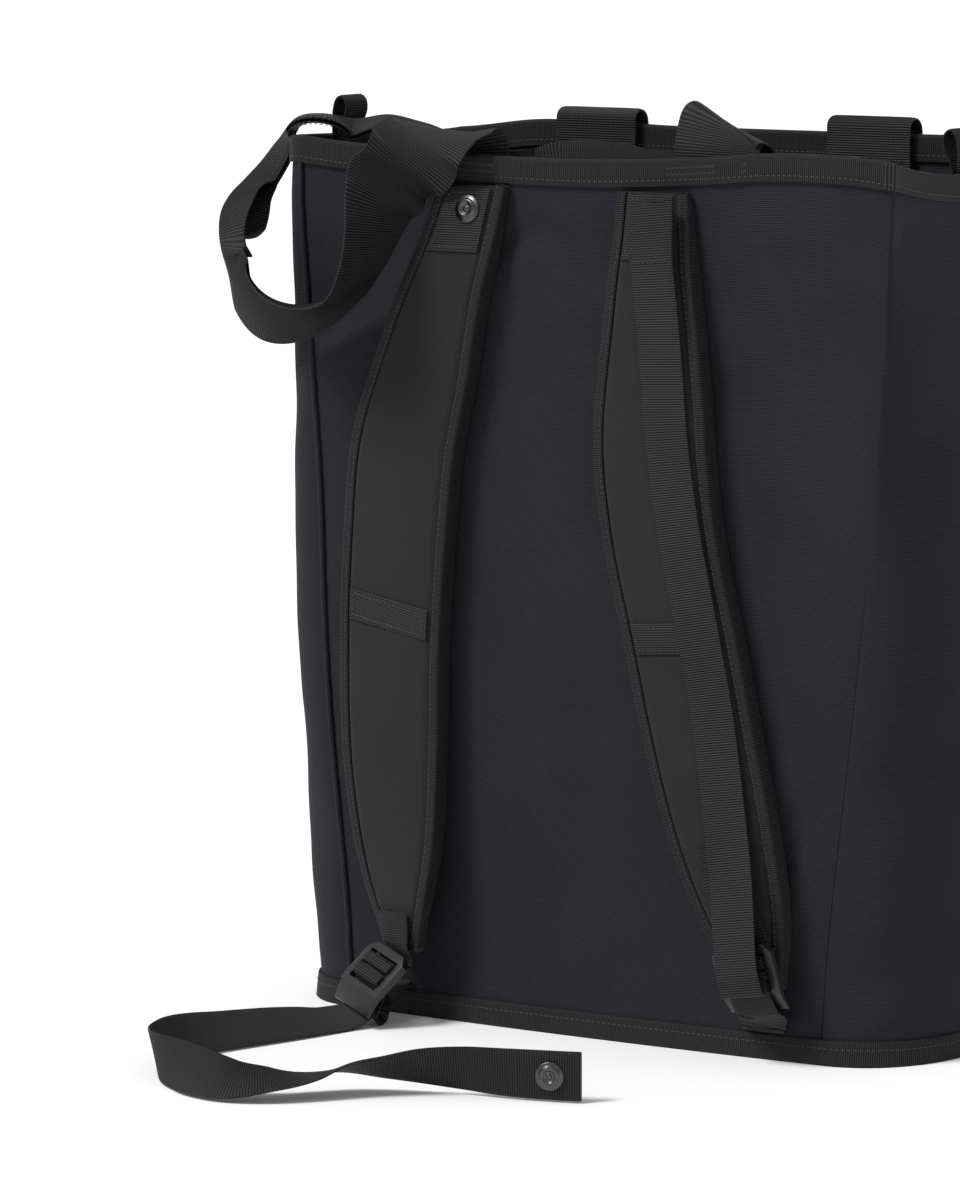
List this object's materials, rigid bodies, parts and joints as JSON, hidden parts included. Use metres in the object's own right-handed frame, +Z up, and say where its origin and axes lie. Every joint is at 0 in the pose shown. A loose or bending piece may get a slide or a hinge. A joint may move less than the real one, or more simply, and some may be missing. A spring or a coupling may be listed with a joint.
{
  "type": "convertible backpack",
  "caption": "Upright open-topped soft bag with padded shoulder straps, ladder locks, snap-down strap ends, taped edges, carrying handles and side loops.",
  "frame": {"origin": "middle of the base's underside", "axes": "+Z up, +X across the bag to the right as seen by someone who looks at the back panel, -Y out of the back panel that carries the shoulder straps"},
  "size_m": [0.4326, 0.4242, 0.4889],
  "materials": {
    "body_cloth": "fine ribbed weave, very dark navy charcoal",
    "pad_cloth": "fine twill, charcoal",
    "tape": "ribbed binding tape, black",
    "webbing": "ribbed webbing, black",
    "lock_plastic": "satin black",
    "snap_metal": "dark gunmetal"
  },
  "bodies": {
    "root": {"back_panel": "body_cloth", "front_panel": "body_cloth", "gusset_left": "body_cloth", "gusset_right": "body_cloth", "base_panel": "body_cloth", "shoulder_pad_left": "pad_cloth", "shoulder_pad_right": "pad_cloth", "mouth_tape": "tape", "base_tape": "tape", "pad_tape_left": "tape", "pad_tape_right": "tape", "pad_patch_left": "webbing", "cross_band_left": "webbing", "buckle_tab_left": "webbing", "side_loop_left": "webbing", "strap_tail_left": "webbing", "pad_patch_right": "webbing", "cross_band_right": "webbing", "buckle_tab_right": "webbing", "side_loop_right": "webbing", "strap_tail_right": "webbing", "handle_back": "webbing", "handle_front": "webbing", "ladder_lock_left": "lock_plastic", "ladder_lock_right": "lock_plastic", "pad_snap_left": "snap_metal", "tail_snap_left": "snap_metal", "pad_snap_right": "snap_metal", "tail_snap_right": "snap_metal"}
  },
  "joints": []
}
